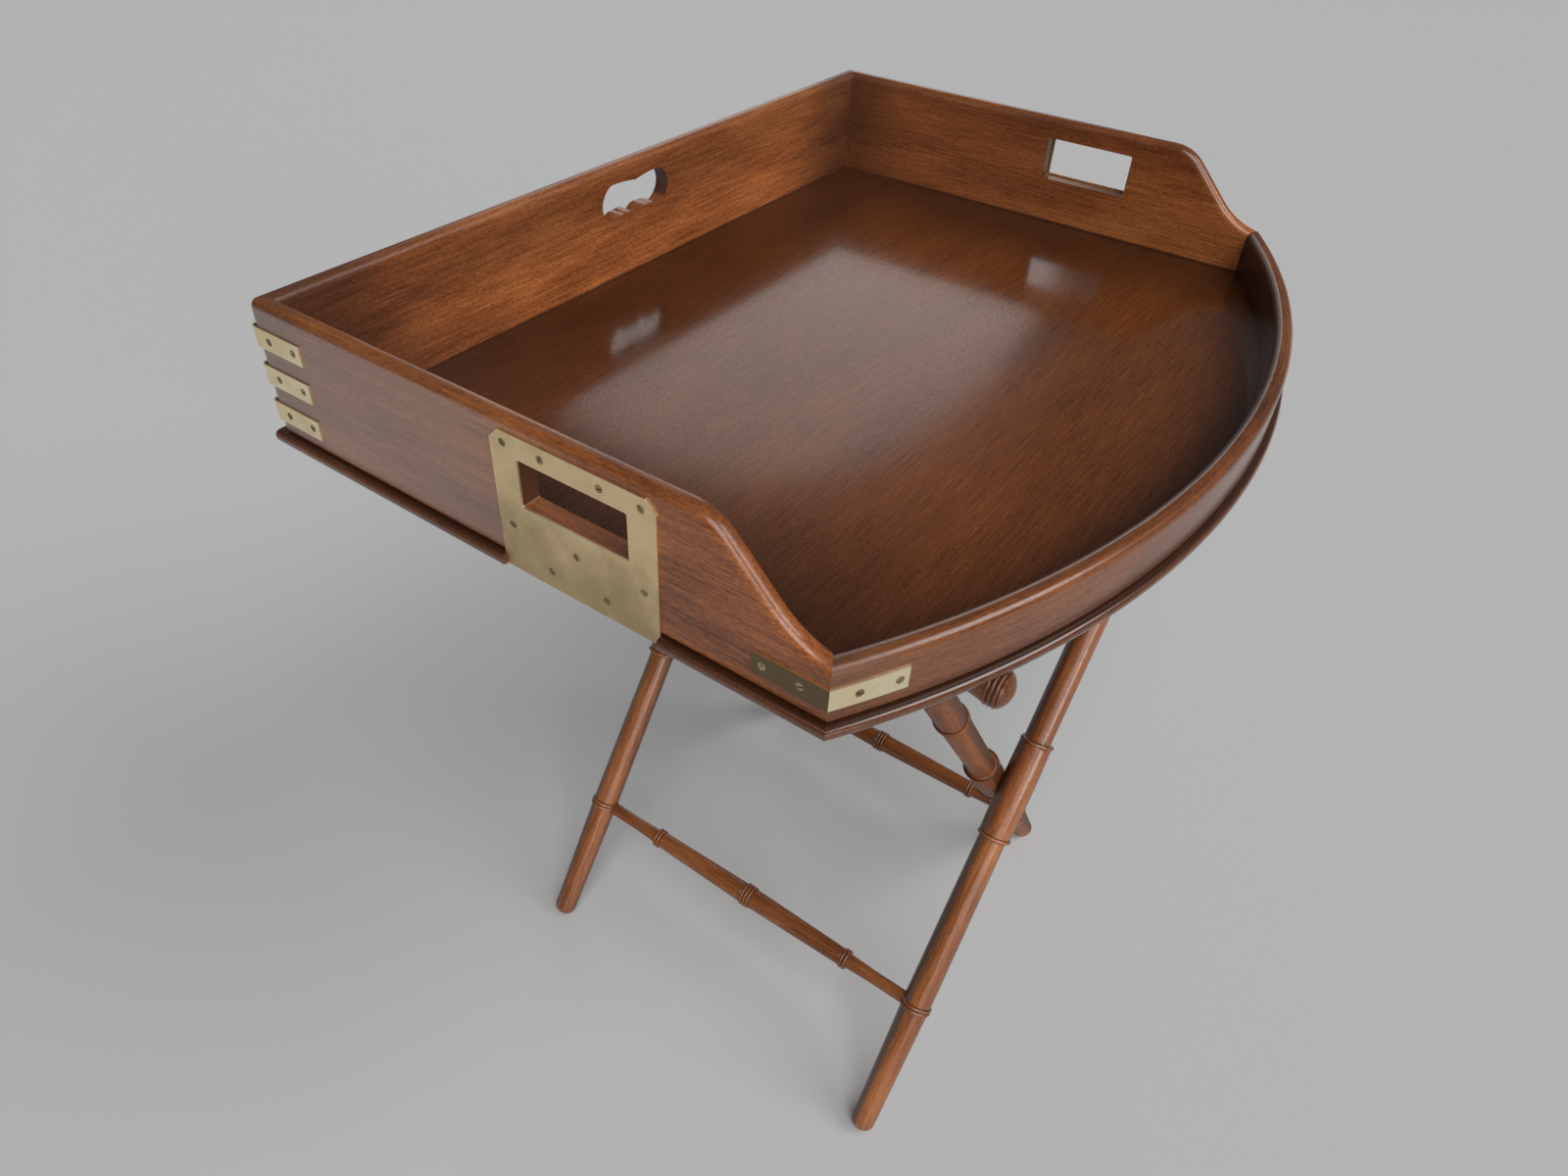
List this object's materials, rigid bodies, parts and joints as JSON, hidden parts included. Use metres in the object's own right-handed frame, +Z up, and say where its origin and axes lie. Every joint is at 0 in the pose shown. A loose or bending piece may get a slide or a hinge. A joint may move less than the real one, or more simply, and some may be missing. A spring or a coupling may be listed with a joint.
{
  "type": "butler's tray table",
  "caption": "Bow-fronted mahogany butler's tray with brass corner straps and handle plates, loose on a folding stand of turned legs.",
  "frame": {"origin": "on the floor, under the middle of the tray", "axes": "+Z up, -Y towards the bow front, +X to the right seen from the front"},
  "size_m": [0.776, 0.596, 0.8515],
  "materials": {
    "tray_wood": "gloss varnish",
    "stand_wood": "gloss varnish",
    "brass": "aged satin",
    "screw_brass": "darkened",
    "steel": "plain",
    "webbing": "woven"
  },
  "bodies": {
    "stretcher": {"outer_stretcher": "stand_wood"},
    "outer_frame": {"outer_leg_front": "stand_wood", "outer_leg_back": "stand_wood", "pivot_pin_front": "steel", "pivot_pin_back": "steel"},
    "outer_rail": {"outer_rail": "stand_wood", "outer_knob_front": "stand_wood", "outer_knob_back": "stand_wood", "outer_tacks": "steel", "webbing_front": "webbing", "webbing_back": "webbing"},
    "inner_frame": {"inner_leg_front": "stand_wood", "inner_leg_back": "stand_wood", "inner_stretcher": "stand_wood", "inner_rail": "stand_wood", "inner_knob_front": "stand_wood", "inner_knob_back": "stand_wood", "inner_tacks": "steel"},
    "tray": {"back_board": "tray_wood", "back_strap_left_high": "brass", "back_strap_left_low": "brass", "back_strap_left_middle": "brass", "back_strap_right_high": "brass", "back_strap_right_low": "brass", "back_strap_right_middle": "brass", "back_strap_screws_left": "screw_brass", "back_strap_screws_right": "screw_brass", "bow_rail": "tray_wood", "front_strap_left": "brass", "front_strap_right": "brass", "front_strap_screws_left": "screw_brass", "front_strap_screws_right": "screw_brass", "handle_plate_left": "brass", "handle_plate_right": "brass", "left_side": "tray_wood", "plate_screws_left": "screw_brass", "plate_screws_right": "screw_brass", "right_side": "tray_wood", "tray_base": "tray_wood"}
  },
  "joints": [
    {"name": "stand_fold", "type": "hinge", "parent": "stretcher", "child": "outer_frame", "pos_m": [-0.15084, 0.015, 0.1286], "axis": [0, -1, 0], "range_deg": [0, 32], "deforming": ["webbing_front", "webbing_back"]},
    {"name": "rail_level", "type": "hinge", "parent": "outer_frame", "child": "outer_rail", "pos_m": [0.2679, 0.015, 0.7266], "axis": [0, -1, 0], "range_deg": [-32, 0]},
    {"name": "inner_fold", "type": "hinge", "parent": "outer_frame", "child": "inner_frame", "pos_m": [-0.004, 0.015, 0.33831], "axis": [0, -1, 0], "range_deg": [-64, 0]},
    {"name": "tray_lift", "type": "slide", "parent": "outer_rail", "child": "tray", "axis": [0, 0, 1], "range_m": [0, 0.25]}
  ],
  "couplings": [
    {"joint": "rail_level", "follows": "stand_fold", "ratio": -1},
    {"joint": "inner_fold", "follows": "stand_fold", "ratio": -2}
  ]
}
